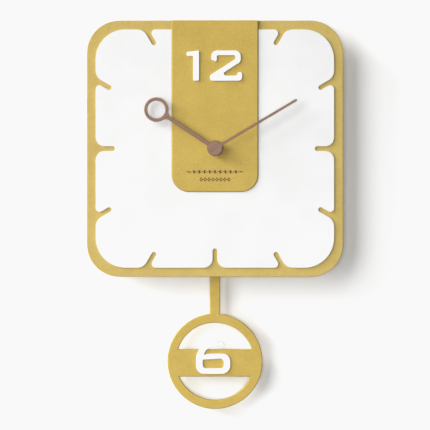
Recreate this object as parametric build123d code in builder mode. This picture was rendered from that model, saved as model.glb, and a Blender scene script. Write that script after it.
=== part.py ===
from build123d import *
import os
from math import acos, cos, pi, radians, sin, sqrt, tan

# Pendulum wall clock: a rounded square dial, two hands and a ring pendulum on a quartz movement.
# Millimetres. +Z is up, +X is to the viewer's right, the dial faces -Y and the wall is the plane Y = 0.
# The origin is the centre of the hanging hole, at the wall.
# Depths are counted forward from the wall. Heights and widths are counted from the dial's centre.

DIAL_Z = -38.0  # the dial's centre hangs this far below the hanging hole

# Face: three layers of board
BOARD_SIZE = 300.0
BOARD_CORNER_R = 38.0
BOARD_BACK = 23.0
BOARD_FRONT = 30.0
BORDER = 10.5
DIAL_SIZE = BOARD_SIZE - 2 * BORDER
DIAL_CORNER_R = 35.0
DIAL_FRONT = 32.0
PANEL_W = 101.0
PANEL_DROP = 50.5
PANEL_CORNER_R = 20.0
PANEL_FRONT = 34.0
PANEL_SEAM = 0.15
EASED_EDGE = 0.5
ROUNDED_EDGE = 0.9

# Hour ticks: round-ended slots through the dial plate, open at its border
TICK_W = 5.4
TICK_TIP_QUARTER = 117.0
TICK_TIP_HOUR = 140.2
TICK_PITCH = 30
MOUTH_R_QUARTER = 10.5
MOUTH_R_ACUTE = 4.5
MOUTH_R_OBTUSE = 13.0
MOUTH_HOUR = DIAL_SIZE / 2 * tan(radians(TICK_PITCH))

# Numerals
NUMERAL_T = 2.0
NUMERAL_EDGE = 0.35
ONE_CORNER = (-33.8, 79.1)
TWO_CORNER = (-5.85, 79.1)
SIX_CORNER = (-22.1, -264.6)

# Hands
HAND_T = 2.5
HAND_EDGE = 0.25
HAND_BUSHING_LIP = 0.5
HAND_BUSHING_WALL = 1.4
HOUR_HAND_BACK = 39.0
HOUR_ANGLE = -56.5
HOUR_BAR_W = 4.4
HOUR_HUB_R = 9.2
HOUR_RING_AT = 81.9
HOUR_RING_R = 14.2
HOUR_RING_HOLE_R = 10.5
HOUR_RING_ROOT_R = 7.0
HOUR_HUB_ROOT_R = 3.0
HOUR_BUSHING_R = 6.2
HOUR_BUSHING_FRONT = 42.0
MINUTE_HAND_BACK = 43.5
MINUTE_ANGLE = 59.3
MINUTE_LENGTH = 111.0
MINUTE_BAR_W = 2.8
MINUTE_HUB_R = 8.2
MINUTE_HUB_ROOT_R = 5.5
MINUTE_SKIN = 0.8
MINUTE_BUSHING_R = 5.0

# Pendulum, cut from one board
PENDULUM_BACK = 14.0
PENDULUM_FRONT = 18.0
RING_Z = -250.0
RING_R = 56.0
RING_BAND = 10.5
CROSSBAR_H = 32.0
CROSSBAR_Z = RING_Z - 2.0
ROD_W = 12.0
ROD_TOP = -87.0
HANG_Z = -92.5
HANG_PIN_R = 1.0
HANG_PIN_BACK = 8.4
HANG_PIN_HEAD_R = 2.2
HANG_PIN_HEAD_T = 0.8
HANG_PIN_DEPTH = 2.6

# Movement case
CASE_W = 58.0
CASE_TOP = 28.0
CASE_BOTTOM = -84.0
CASE_FRONT = 22.0
CASE_WALL = 1.6
CASE_R = 4.0
CASE_EDGE_R = 1.0
CASE_FLOOR = CASE_FRONT - CASE_WALL
BLIND_END = 19.8
SHELF_T = 1.2
BATTERY_BAY_TOP = -12.2
BATTERY_BAY_BOTTOM = -29.6
COVER_T = 2.0
COVER_GAP = 0.15
LEVER_SLOT_W = 23.0
LEVER_SLOT_MARGIN = 1.5
LOOP_T = 3.0
LOOP_W = 22.0
LOOP_TOP_CENTRE = 43.0
LOOP_HOLE_R = 4.0
LOOP_SLOT_R = 2.0
LOOP_SLOT_UP = 7.0
LOOP_RIB_T = 2.0
LOOP_RIB_H = 14.0
LOOP_RIB_DEPTH = 15.0
PLATE_BACK = 13.6
PLATE_T = 0.8
PLATE_FRONT = PLATE_BACK + PLATE_T
PLATE_W = 54.0
PLATE_H = 36.8
PLATE_Z = 7.2
PLATE_R = 2.0
SCREW_R = 1.2
SCREW_POST_R = 2.8
SCREW_HOLE_END = 19.0
SCREW_SINK = 1.3
SCREW_SINK_R = 2.6
SCREW_CLEARANCE = 0.1
SCREW_SLOT_W = 0.5
SCREW_SLOT_L = 1.3  # slot length over head radius
SCREW_SLOT_DEPTH = 0.6  # slot depth over head thickness
SCREW_HEAD_T = 1.0
COVER_SCREW_HEAD_R = 2.4
COVER_SCREW_TIP = 12.0
PLATE_SCREW_HEAD_R = 2.2
PLATE_SCREW_TIP = 18.0
BATTERY_DOOR_W = 51.8
BATTERY_DOOR_R = 1.0
COVER_SCREW_PLACES = [(x, z) for x in (-24.0, 24.0) for z in (-35.0, -78.0)]
PLATE_SCREW_PLACES = [(x, z) for x in (-24.0, 24.0) for z in (-8.4, 22.8)]

# Shafts on the dial's axis, from the outside in
POST_R = 4.9
POST_BORE_R = 3.25
POST_CLEARANCE = 0.1
POST_FRONT = 38.0
POST_FLANGE_R = 7.0
POST_FLANGE_T = 1.4
POST_EDGE = 0.4
GASKET_SIZE = 44.0
GASKET_R = 4.0
WASHER_R = 7.8
WASHER_T = 0.5
NUT_FLAT = 6.5
NUT_CORNER_R = 7.2
NUT_T = 2.6
PIPE_R = 3.2
PIPE_BORE_R = 1.85
ARBOR_R = 1.8
RUNNING_GAP = 0.05
PIVOT_R = 0.4
STUD_R = 0.45
KNOB_SHAFT_R = 1.2
MOTION_PIVOT_R = 0.6
CLUTCH_SHAFT_R = 1.2
CLUTCH_HEAD_R = 2.0
CLUTCH_PIVOT_HOLE = 1.3
CLUTCH_WASHER_R = 3.0
CLUTCH_WASHER_T = 0.25

# Rear faces of the wheels and their pinions, from the wall forward
ROTOR_MAGNET_BACK = 3.8
ROTOR_PINION_BACK = 6.9
INTERMEDIATE_BACK = 7.3
SECONDS_BACK = 9.0
THIRD_BACK = 10.4
CLUTCH_HEAD_BACK = 11.7
CLUTCH_HEAD_FRONT = 12.1
CENTRE_BACK = 12.3
CLUTCH_WASHER_BACK = 13.2
MOTION_PIVOT_BACK = 13.7
MOTION_BACK = 14.8
HOUR_WHEEL_BACK = 16.4
HOUR_HUB_FRONT = 18.8
HOUR_WHEEL_HUB_R = 4.4
WHEEL_T = 0.8
MOTION_T = 1.0
MOTION_PINION_T = 2.0
MOTION_PIVOT_FRONT = 19.4
ROTOR_PINION_T = 1.6
INTERMEDIATE_PINION_T = 2.0
SECONDS_PINION_T = 1.7
THIRD_PINION_T = 2.1
END_SHAKE = 0.1
PLATE_PIVOT_FRONT = 14.2
SECONDS_PIVOT_FRONT = 12.8
INTERMEDIATE_HUB_R = 1.1
SECONDS_SHOULDER_R = 0.6
ROTOR_SHOULDER_R = 0.6
THIRD_SHOULDER_R = 1.2
WINDOWS = 4
WINDOW_AT = 5.4
WINDOW_R = 2.0

# Bearings: how far forward each one's mouth stands, and how deep the pivot goes in
BEARING_R = 1.6
BEARING_DEPTH = 1.2
FRONT_BEARING_R = 1.8
FRONT_BEARING_BACK = 18.3
ROTOR_BEARING = 3.4
CENTRE_BEARING = 6.6
INTERMEDIATE_STUD = 6.9
INTERMEDIATE_STUD_TIP = 10.3
THIRD_BEARING = 9.0

# Setting knob, in a cup in the rear cover
KNOB_BACK = 0.6
KNOB_R = 5.8
KNOB_T = 2.8
KNOB_SHOULDER_R = 1.6
KNOB_SHOULDER_FRONT = 16.2
KNOB_FLUTES = 24
KNOB_FLUTE_R = 0.6
KNOB_GRIP_L = 8.0
KNOB_GRIP_W = 1.2
KNOB_GRIP_DEPTH = 0.7
CUP_R = 7.6
CUP_BORE_R = 6.5
CUP_FRONT = 4.8
CUP_FLOOR = 3.8

# Wheels: (teeth, module)
MINUTE_PINION = (12, 0.4)
MOTION_WHEEL = (36, 0.4)
MOTION_PINION = (10, 0.384)
HOUR_WHEEL = (40, 0.384)
KNOB_PINION = (12, 0.4)
ROTOR_PINION = (8, 0.25)
INTERMEDIATE_WHEEL = (48, 0.25)
INTERMEDIATE_PINION = (8, 0.3)
SECONDS_WHEEL = (40, 0.3)
SECONDS_PINION = (8, 0.3)
THIRD_WHEEL = (64, 0.3)
CENTRE_MODULE = 0.3 * (8 + 64) / (8 + 60)
THIRD_PINION = (8, CENTRE_MODULE)
CENTRE_WHEEL = (60, CENTRE_MODULE)
BACKLASH = 0.16
WHEEL_ADDENDUM = 0.75
PINION_ADDENDUM = 0.75
DEDENDUM = 1.15
PRESSURE_ANGLE = radians(20)

# Arbor centres, as directions and distances
MOTION_DIRECTION = 0.0
THIRD_DIRECTION = 120.0
INTERMEDIATE_DIRECTION = 200.0

# Pendulum drive
PIVOT_Z = -36.0
LEVER_BACK = 10.0
LEVER_T = 2.0
LEVER_W = 6.0
LEVER_EYE_R = 4.2
LEVER_PAD_R = 6.5
LEVER_FOOT_R = 5.0
LEVER_BOSS_R = 3.0
LEVER_BOSS_BACK = 9.0
LEVER_BOSS_FRONT = 13.6
LEVER_HOOK_TURN = 50
PIVOT_PIN_R = 1.0
PIVOT_PIN_BACK = 4.0
PIVOT_BOSS_R = 3.0
PIVOT_BOSS_REAR = 8.6
PIVOT_BOSS_FRONT = 14.0
MAGNET_Z = -62.0
MAGNET_R = 5.0
MAGNET_FRONT = 15.0
MAGNET_EDGE = 0.4
DRIVE_COIL_R = 9.0
DRIVE_COIL_CORE_R = 3.0
DRIVE_BOBBIN_BACK = 15.8
DRIVE_BOBBIN_R = 9.6
DRIVE_BOBBIN_BORE_R = 2.0
DRIVE_COIL_BACK = 16.4
DRIVE_COIL_FRONT = 19.6

# Motor coil and stator, beside the rotor
COIL_X = -22.6
COIL_LOW = -6.0
COIL_HIGH = 14.0
COIL_CORE_R = 2.2
COIL_R = 3.0
COIL_FLANGE_R = 3.15
COIL_FLANGE_T = 0.8
CORE_DEPTH = 5.25
CORE_W = 3.0
CORE_PLAY = 0.1
STATOR_BACK = 4.5
STATOR_T = 1.5
STATOR_R = 5.0
STATOR_BORE_R = 3.5
STATOR_OUTER_X = -24.4
UPPER_ARM_TOP = 19.5
LOWER_ARM_TOP = -6.6
ARM_W = 3.2
ROTOR_MAGNET_R = 3.0
ROTOR_MAGNET_BORE_R = 0.8
ROTOR_MAGNET_T = 2.8

# Electronics
BOARD_CENTRE = (15.0, 17.6)
BOARD_W = 22.0
BOARD_H = 15.0
BOARD_R = 0.8
BOARD_HOLE_R = 0.9
BOARD_HOLE_IN = 1.9
CIRCUIT_BACK = 3.4
CIRCUIT_T = 1.2
CHIP_CENTRE = (11.5, 17.4)
CHIP_W = 6.0
CHIP_H = 5.0
CHIP_T = 1.4
CHIP_EDGE = 0.4
CRYSTAL_AT = (20.0, 16.6)
CRYSTAL_DEPTH = 5.7
CRYSTAL_R = 1.05
CRYSTAL_L = 6.2

# Battery and its contacts
BATTERY_Z = -20.9
BATTERY_DEPTH = 10.6
BATTERY_R = 7.2
BATTERY_L = 50.5
BATTERY_FLAT_X = -24.6
BATTERY_EDGE_R = 0.7
BATTERY_NUB_R = 2.6
BATTERY_NUB_L = 1.2
CONTACT_T = 0.4
CONTACT_W = 11.0
CONTACT_H = 10.0
CONTACT_R = 0.8
CONTACT_PAD_R = 2.2
SPRING_W = 8.0


def facing_front(depth, across=0.0, height=0.0):
    """A plane parallel to the wall, seen from the front: x to the right, y up, normal to the viewer."""
    return Plane(origin=(across, -depth, DIAL_Z + height), x_dir=(1, 0, 0), z_dir=(0, -1, 0))


def along_hand(depth, clock_angle):
    """A plane parallel to the wall on the dial's axis, its y axis along a hand at that clock angle."""
    turn = radians(clock_angle)
    return Plane(origin=(0, -depth, DIAL_Z), x_dir=(cos(turn), 0, -sin(turn)), z_dir=(0, -1, 0))


def polar(direction, distance, centre=(0.0, 0.0)):
    """The point at a distance and a direction in degrees, anticlockwise from the right, from a centre."""
    turn = radians(direction)
    return (centre[0] + distance * cos(turn), centre[1] + distance * sin(turn))


def stepped_shaft(centre, steps):
    """Round steps on one axis, each given as its rear depth, front depth and radius."""
    with BuildPart() as shaft:
        for rear, front, radius in steps:
            with BuildSketch(facing_front(rear, *centre)):
                Circle(radius)
            extrude(amount=front - rear)
    return shaft.part


def tooth_outline(teeth, module):
    """One involute tooth pointing along x, thinned by the backlash."""
    pitch_r = teeth * module / 2
    base_r = pitch_r * cos(PRESSURE_ANGLE)
    root_r = pitch_r - DEDENDUM * module
    tip_r = pitch_r + (PINION_ADDENDUM if teeth < 16 else WHEEL_ADDENDUM) * module
    half_pitch_angle = (pi / 2 - BACKLASH) / teeth
    involute = tan(PRESSURE_ANGLE) - PRESSURE_ANGLE

    def half_angle(radius):
        if radius <= base_r:
            return half_pitch_angle + involute
        pressure = acos(base_r / radius)
        return half_pitch_angle + involute - (tan(pressure) - pressure)

    radii = [root_r * 0.98, root_r, (base_r + pitch_r) / 2, (pitch_r + tip_r) / 2, tip_r]
    upper = [(r * cos(half_angle(r)), r * sin(half_angle(r))) for r in radii]
    lower = [(x, -y) for x, y in reversed(upper)]
    return lower + upper


def toothed_disc(centre, rear, front, gear, first_tooth):
    """A spur gear whose first tooth points in the given direction."""
    teeth, module = gear
    with BuildPart() as disc:
        with BuildSketch(facing_front(rear, *centre)):
            Circle(teeth * module / 2 - DEDENDUM * module)
            with PolarLocations(0, teeth, start_angle=first_tooth):
                Polygon(*tooth_outline(teeth, module), align=None)
        extrude(amount=front - rear)
    return disc.part


def gap_towards(direction, gear):
    """The first tooth's direction that leaves a gap between teeth in the given direction."""
    return direction + 180 / gear[0]


def centre_distance(gear_a, gear_b):
    """How far apart two meshed gears stand."""
    return (gear_a[0] * gear_a[1] + gear_b[0] * gear_b[1]) / 2


def rounded_outline(points, radii):
    """A closed outline through the points, each corner rounded to its own radius."""
    with BuildSketch() as outline:
        with BuildLine():
            Polyline(*points, close=True)
        make_face()
        for point, radius in zip(points, radii):
            corner = outline.vertices().sort_by_distance((point[0], point[1], 0))[0]
            fillet(corner, radius)
    return outline.sketch


def raised_numeral(depth, corner, outline, counter=None):
    """A numeral cut from thin board: its outline, less the hole in it, with its front edge eased."""
    with BuildPart() as numeral:
        with BuildSketch(facing_front(depth, *corner)):
            add(outline)
            if counter:
                add(counter, mode=Mode.SUBTRACT)
        extrude(amount=NUMERAL_T)
        chamfer(numeral.faces().sort_by(Axis.Y)[0].edges(), NUMERAL_EDGE)
    return numeral.part


def wound_coil(axis_plane, length, core, outer_r):
    """A coil winding: a thick tube on its bobbin's core."""
    with BuildPart() as coil:
        with BuildSketch(axis_plane):
            Circle(outer_r)
            Circle(core, mode=Mode.SUBTRACT)
        extrude(amount=length)
    return coil.part


def save(piece, name):
    """Labels a finished piece and writes it to its own file."""
    piece.part.label = name
    export_step(piece.part, f"parts/{name}.step")


os.makedirs("parts", exist_ok=True)

MOTION_AT = polar(MOTION_DIRECTION, centre_distance(MINUTE_PINION, MOTION_WHEEL))
KNOB_AT = polar(MOTION_DIRECTION, centre_distance(MOTION_WHEEL, KNOB_PINION), MOTION_AT)
THIRD_AT = polar(THIRD_DIRECTION, centre_distance(THIRD_PINION, CENTRE_WHEEL))
INTERMEDIATE_AT = polar(INTERMEDIATE_DIRECTION, centre_distance(INTERMEDIATE_PINION, SECONDS_WHEEL))
ROTOR_DISTANCE = centre_distance(ROTOR_PINION, INTERMEDIATE_WHEEL)
ROTOR_AT = polar(INTERMEDIATE_DIRECTION, ROTOR_DISTANCE, INTERMEDIATE_AT)
DIAL_AT = (0.0, 0.0)
PIVOT_AT = (0.0, PIVOT_Z)
MAGNET_AT = (0.0, MAGNET_Z)
HANG_AT = (0.0, HANG_Z)

# ---- Face -------------------------------------------------------------------------------------

# Back board: the border and the bottoms of the hour ticks are its front
with BuildPart() as face_board:
    with BuildSketch(facing_front(BOARD_BACK)):
        RectangleRounded(BOARD_SIZE, BOARD_SIZE, BOARD_CORNER_R)
        Circle(POST_R + POST_CLEARANCE, mode=Mode.SUBTRACT)
    extrude(amount=BOARD_FRONT - BOARD_BACK)
    rim = face_board.faces().sort_by(Axis.Y)[0].outer_wire()
    chamfer(rim.edges(), EASED_EDGE)
save(face_board, "face_board")

# Dial plate: its outline is notched by the ticks and by the panel
with BuildPart() as dial_plate:
    with BuildSketch(facing_front(BOARD_FRONT)) as dial_outline:
        RectangleRounded(DIAL_SIZE, DIAL_SIZE, DIAL_CORNER_R)
        for hour in range(1, 12):
            tip = TICK_TIP_QUARTER if hour % 3 == 0 else TICK_TIP_HOUR
            tick_l = BOARD_SIZE - tip
            with Locations(Location((0, 0, 0), (0, 0, -TICK_PITCH * hour))):
                with Locations((0, tip + TICK_W / 2 + tick_l / 2)):
                    Rectangle(TICK_W, tick_l, mode=Mode.SUBTRACT)
                with Locations((0, tip + TICK_W / 2)):
                    Circle(TICK_W / 2, mode=Mode.SUBTRACT)
        for low, high, radius in (
            (0, MOUTH_HOUR / 2, MOUTH_R_QUARTER),
            (MOUTH_HOUR / 2, MOUTH_HOUR, MOUTH_R_ACUTE),
            (MOUTH_HOUR, DIAL_SIZE / 2 - DIAL_CORNER_R - 1, MOUTH_R_OBTUSE),
        ):
            mouths = [
                corner
                for corner in dial_outline.vertices()
                if max(abs(corner.X), abs(corner.Y)) > DIAL_SIZE / 2 - RUNNING_GAP
                and low < min(abs(corner.X), abs(corner.Y)) < high
            ]
            fillet(mouths, radius)
        with Locations((0, DIAL_SIZE / 2 - PANEL_DROP)):
            panel_gap_w = PANEL_W + 2 * PANEL_SEAM
            panel_gap_h = DIAL_SIZE + 2 * PANEL_SEAM
            RectangleRounded(panel_gap_w, panel_gap_h, PANEL_CORNER_R + PANEL_SEAM, mode=Mode.SUBTRACT)
    extrude(amount=DIAL_FRONT - BOARD_FRONT)
    chamfer(dial_plate.faces().sort_by(Axis.Y)[0].edges(), EASED_EDGE / 2)
save(dial_plate, "dial_plate")

# Centre panel: square at the top, round at its two lower corners
with BuildPart() as centre_panel:
    with BuildSketch(facing_front(BOARD_FRONT)) as panel_outline:
        panel_h = BOARD_SIZE / 2 + PANEL_DROP
        with Locations((0, BOARD_SIZE / 2 - panel_h / 2)):
            Rectangle(PANEL_W, panel_h)
        fillet(panel_outline.vertices().group_by(Axis.Y)[0], PANEL_CORNER_R)
        Circle(POST_R + POST_CLEARANCE, mode=Mode.SUBTRACT)
    extrude(amount=PANEL_FRONT - BOARD_FRONT)
    chamfer(centre_panel.faces().sort_by(Axis.Y)[0].outer_wire().edges(), ROUNDED_EDGE)
save(centre_panel, "centre_panel")

# Numeral one: a stem with a flag to the left
one_points = [(8.35, 0), (15.3, 0), (15.3, 35.4), (0.5, 33.6), (0.5, 29.0), (8.35, 29.0)]
one_radii = [1.6, 1.6, 0.5, 2.2, 2.2, 1.4]
with BuildPart() as numeral_one:
    add(raised_numeral(PANEL_FRONT, ONE_CORNER, rounded_outline(one_points, one_radii)))
save(numeral_one, "numeral_one")

# Numeral two: hooked at both ends
two_points = [
    (0, 0), (37.7, 0), (37.7, 10.1), (33.0, 10.1), (31.1, 6.1), (17.4, 6.1), (15.9, 9.4), (36.2, 22.3),
    (36.2, 35.4), (1.8, 35.4), (1.8, 24.7), (7.9, 22.1), (8.3, 29.9), (29.9, 29.9), (29.9, 25.5), (0, 6.3),
]
two_radii = [3.6, 4.5, 2.3, 2.0, 1.6, 1.8, 1.8, 6.0, 7.0, 6.5, 1.2, 1.5, 1.6, 2.3, 3.0, 3.0]
with BuildPart() as numeral_two:
    add(raised_numeral(PANEL_FRONT, TWO_CORNER, rounded_outline(two_points, two_radii)))
save(numeral_two, "numeral_two")

# ---- Movement case ----------------------------------------------------------------------------

inner_w = CASE_W - 2 * CASE_WALL
inner_h = CASE_TOP - CASE_BOTTOM - 2 * CASE_WALL
case_middle = (CASE_TOP + CASE_BOTTOM) / 2
loop_z = -DIAL_Z

with BuildPart() as movement_case:
    with BuildSketch(facing_front(0, 0, case_middle)):
        RectangleRounded(CASE_W, CASE_TOP - CASE_BOTTOM, CASE_R)
    extrude(amount=CASE_FRONT)
    with BuildSketch(facing_front(0, 0, case_middle)):
        RectangleRounded(inner_w, inner_h, CASE_R - CASE_WALL)
    extrude(amount=CASE_FLOOR, mode=Mode.SUBTRACT)
    fillet(movement_case.faces().sort_by(Axis.Y)[0].outer_wire().edges(), CASE_EDGE_R)
    # shelves above and below the battery
    with BuildSketch(facing_front(COVER_T + COVER_GAP)):
        for shelf_z in (BATTERY_BAY_TOP, BATTERY_BAY_BOTTOM):
            with Locations((0, shelf_z)):
                Rectangle(inner_w + CASE_WALL, SHELF_T)
    extrude(amount=CASE_FLOOR - COVER_T - COVER_GAP)
    # posts for the screws
    with BuildSketch(facing_front(COVER_T + COVER_GAP)):
        with Locations(*COVER_SCREW_PLACES):
            Circle(SCREW_POST_R)
    extrude(amount=CASE_FLOOR - COVER_T - COVER_GAP)
    with BuildSketch(facing_front(PLATE_FRONT)):
        with Locations(*PLATE_SCREW_PLACES):
            Circle(SCREW_POST_R)
    extrude(amount=CASE_FLOOR - PLATE_FRONT)
    # front bearings of the motion wheel and the setting knob, and the pendulum's pivot boss
    with BuildSketch(facing_front(FRONT_BEARING_BACK)):
        with Locations(MOTION_AT, KNOB_AT):
            Circle(FRONT_BEARING_R)
    extrude(amount=CASE_FLOOR - FRONT_BEARING_BACK)
    with BuildSketch(facing_front(PIVOT_BOSS_FRONT, 0, PIVOT_Z)):
        Circle(PIVOT_BOSS_R)
    extrude(amount=CASE_FLOOR - PIVOT_BOSS_FRONT)
    with BuildSketch(facing_front(0)):
        with Locations(MOTION_AT, KNOB_AT):
            Circle(MOTION_PIVOT_R + RUNNING_GAP)
        with Locations((0, PIVOT_Z)):
            Circle(PIVOT_PIN_R)
    extrude(amount=BLIND_END, mode=Mode.SUBTRACT)
    with BuildSketch(facing_front(0)):
        with Locations(*COVER_SCREW_PLACES, *PLATE_SCREW_PLACES):
            Circle(SCREW_R)
    extrude(amount=SCREW_HOLE_END, mode=Mode.SUBTRACT)
    # hole for the threaded post and slot for the pendulum's lever
    with BuildSketch(facing_front(CASE_FLOOR)):
        Circle(POST_R)
    extrude(amount=CASE_WALL, mode=Mode.SUBTRACT)
    with BuildSketch(Plane.XY.offset(DIAL_Z + CASE_BOTTOM)):
        with Locations((0, -(LEVER_BACK + LEVER_T / 2))):
            slot_d = LEVER_T + 2 * LEVER_SLOT_MARGIN
            RectangleRounded(LEVER_SLOT_W, slot_d, LEVER_SLOT_MARGIN)
    extrude(amount=CASE_WALL, mode=Mode.SUBTRACT)
    # hanging loop on two ribs
    with BuildSketch(facing_front(0)):
        loop_foot = CASE_TOP - CASE_WALL
        with Locations((0, (loop_foot + LOOP_TOP_CENTRE) / 2)):
            Rectangle(LOOP_W, LOOP_TOP_CENTRE - loop_foot)
        with Locations((0, LOOP_TOP_CENTRE)):
            Circle(LOOP_W / 2)
    extrude(amount=LOOP_T)
    with BuildSketch(facing_front(0)):
        with Locations((0, loop_z)):
            Circle(LOOP_HOLE_R)
        with Locations((0, loop_z + LOOP_SLOT_UP / 2)):
            Rectangle(2 * LOOP_SLOT_R, LOOP_SLOT_UP)
        with Locations((0, loop_z + LOOP_SLOT_UP)):
            Circle(LOOP_SLOT_R)
    extrude(amount=LOOP_T, mode=Mode.SUBTRACT)
    for rib_x in (-LOOP_W / 2, LOOP_W / 2 - LOOP_RIB_T):
        with BuildSketch(Plane.YZ.offset(rib_x)):
            rib_foot = DIAL_Z + CASE_TOP - CASE_WALL / 2
            rib_back = -LOOP_T / 2
            with BuildLine():
                Polyline(
                    (rib_back, rib_foot),
                    (-LOOP_RIB_DEPTH, rib_foot),
                    (rib_back, rib_foot + LOOP_RIB_H),
                    close=True,
                )
            make_face()
        extrude(amount=LOOP_RIB_T)
save(movement_case, "movement_case")

# Rear cover: it sits inside the case walls, with the battery opening and a cup for the knob
with BuildPart() as movement_back_cover:
    with BuildSketch(facing_front(0, 0, case_middle)):
        RectangleRounded(inner_w - 2 * COVER_GAP, inner_h - 2 * COVER_GAP, CASE_R - CASE_WALL - COVER_GAP)
    extrude(amount=COVER_T)
    with BuildSketch(facing_front(0)):
        with Locations((0, (BATTERY_BAY_TOP + BATTERY_BAY_BOTTOM) / 2)):
            bay_h = BATTERY_BAY_TOP - BATTERY_BAY_BOTTOM - SHELF_T
            RectangleRounded(BATTERY_DOOR_W, bay_h, BATTERY_DOOR_R)
    extrude(amount=COVER_T, mode=Mode.SUBTRACT)
    add(stepped_shaft(KNOB_AT, [(0, CUP_FRONT, CUP_R)]))
    with BuildSketch(facing_front(0, *KNOB_AT)):
        Circle(CUP_BORE_R)
    extrude(amount=CUP_FLOOR, mode=Mode.SUBTRACT)
    bosses = (
        (THIRD_AT, THIRD_BEARING, BEARING_R),
        (DIAL_AT, CENTRE_BEARING, BEARING_R),
        (ROTOR_AT, ROTOR_BEARING, BEARING_R),
        (INTERMEDIATE_AT, INTERMEDIATE_STUD, BEARING_R),
        (INTERMEDIATE_AT, INTERMEDIATE_STUD_TIP, STUD_R),
        (PIVOT_AT, PIVOT_BOSS_REAR, PIVOT_BOSS_R),
    )
    for place, mouth, radius in bosses:
        add(stepped_shaft(place, [(COVER_T / 2, mouth, radius)]))
    holes = (
        (THIRD_AT, THIRD_BEARING, BEARING_DEPTH, PIVOT_R + RUNNING_GAP),
        (DIAL_AT, CENTRE_BEARING, BEARING_DEPTH, PIVOT_R + RUNNING_GAP),
        (ROTOR_AT, ROTOR_BEARING, BEARING_DEPTH, PIVOT_R + RUNNING_GAP),
        (PIVOT_AT, PIVOT_BOSS_REAR, PIVOT_BOSS_REAR - PIVOT_PIN_BACK, PIVOT_PIN_R),
        (KNOB_AT, CUP_FRONT, CUP_FRONT - CUP_FLOOR, KNOB_SHAFT_R + RUNNING_GAP),
    )
    for place, mouth, depth, radius in holes:
        with BuildSketch(facing_front(mouth - depth, *place)):
            Circle(radius)
        extrude(amount=depth, mode=Mode.SUBTRACT)
    with BuildSketch(facing_front(0)):
        with Locations(*COVER_SCREW_PLACES):
            Circle(SCREW_R + SCREW_CLEARANCE)
    extrude(amount=COVER_T, mode=Mode.SUBTRACT)
    with BuildSketch(facing_front(0)):
        with Locations(*COVER_SCREW_PLACES):
            Circle(SCREW_SINK_R)
    extrude(amount=SCREW_SINK, mode=Mode.SUBTRACT)
save(movement_back_cover, "movement_back_cover")

# Bearing plate between the going train and the motion work
with BuildPart() as movement_plate:
    with BuildSketch(facing_front(PLATE_BACK, 0, PLATE_Z)):
        RectangleRounded(PLATE_W, PLATE_H, PLATE_R)
    extrude(amount=PLATE_T)
    with BuildSketch(facing_front(PLATE_BACK)):
        with Locations(THIRD_AT, ROTOR_AT):
            Circle(PIVOT_R + RUNNING_GAP)
        with Locations(MOTION_AT):
            Circle(MOTION_PIVOT_R + RUNNING_GAP)
        with Locations(KNOB_AT):
            Circle(KNOB_SHAFT_R + 2 * RUNNING_GAP)
        Circle(CLUTCH_SHAFT_R + 2 * RUNNING_GAP)
        with Locations(*PLATE_SCREW_PLACES):
            Circle(SCREW_R)
    extrude(amount=PLATE_T, mode=Mode.SUBTRACT)
save(movement_plate, "movement_plate")


def cross_screw(place, seat, tip, head_r):
    """A pan head screw along the depth, its head behind the seat, with a cross slot."""
    head_back = seat - SCREW_HEAD_T
    slot_l = head_r * SCREW_SLOT_L
    with BuildPart() as screw:
        add(stepped_shaft(place, [(head_back, seat, head_r), (head_back, tip, SCREW_R)]))
        with BuildSketch(facing_front(head_back, *place)):
            Rectangle(slot_l, SCREW_SLOT_W)
            Rectangle(SCREW_SLOT_W, slot_l)
        extrude(amount=SCREW_HEAD_T * SCREW_SLOT_DEPTH, mode=Mode.SUBTRACT)
    return screw.part


with BuildPart() as cover_screws:
    for place in COVER_SCREW_PLACES:
        add(cross_screw(place, SCREW_SINK, COVER_SCREW_TIP, COVER_SCREW_HEAD_R))
save(cover_screws, "cover_screws")

with BuildPart() as plate_screws:
    for place in PLATE_SCREW_PLACES:
        add(cross_screw(place, PLATE_BACK, PLATE_SCREW_TIP, PLATE_SCREW_HEAD_R))
save(plate_screws, "plate_screws")

# Threaded post, gasket, washer and nut that clamp the movement to the face
with BuildPart() as threaded_post:
    post_back = CASE_FLOOR - POST_FLANGE_T
    post_steps = [(post_back, CASE_FLOOR, POST_FLANGE_R), (CASE_FLOOR, POST_FRONT, POST_R)]
    add(stepped_shaft(DIAL_AT, post_steps))
    with BuildSketch(facing_front(post_back)):
        Circle(POST_BORE_R)
    extrude(amount=POST_FRONT - post_back, mode=Mode.SUBTRACT)
    chamfer(threaded_post.faces().sort_by(Axis.Y)[0].outer_wire().edges(), POST_EDGE)
save(threaded_post, "threaded_post")

with BuildPart() as rubber_gasket:
    with BuildSketch(facing_front(CASE_FRONT)):
        RectangleRounded(GASKET_SIZE, GASKET_SIZE, GASKET_R)
        Circle(POST_R, mode=Mode.SUBTRACT)
    extrude(amount=BOARD_BACK - CASE_FRONT)
save(rubber_gasket, "rubber_gasket")

with BuildPart() as mounting_washer:
    with BuildSketch(facing_front(PANEL_FRONT)):
        Circle(WASHER_R)
        Circle(POST_R + POST_CLEARANCE, mode=Mode.SUBTRACT)
    extrude(amount=WASHER_T)
save(mounting_washer, "mounting_washer")

with BuildPart() as mounting_nut:
    with BuildSketch(facing_front(PANEL_FRONT + WASHER_T)):
        RegularPolygon(NUT_FLAT, 6, major_radius=False)
        Circle(NUT_CORNER_R, mode=Mode.INTERSECT)
        Circle(POST_R, mode=Mode.SUBTRACT)
    extrude(amount=NUT_T)
save(mounting_nut, "mounting_nut")

# ---- Hands ------------------------------------------------------------------------------------

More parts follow.
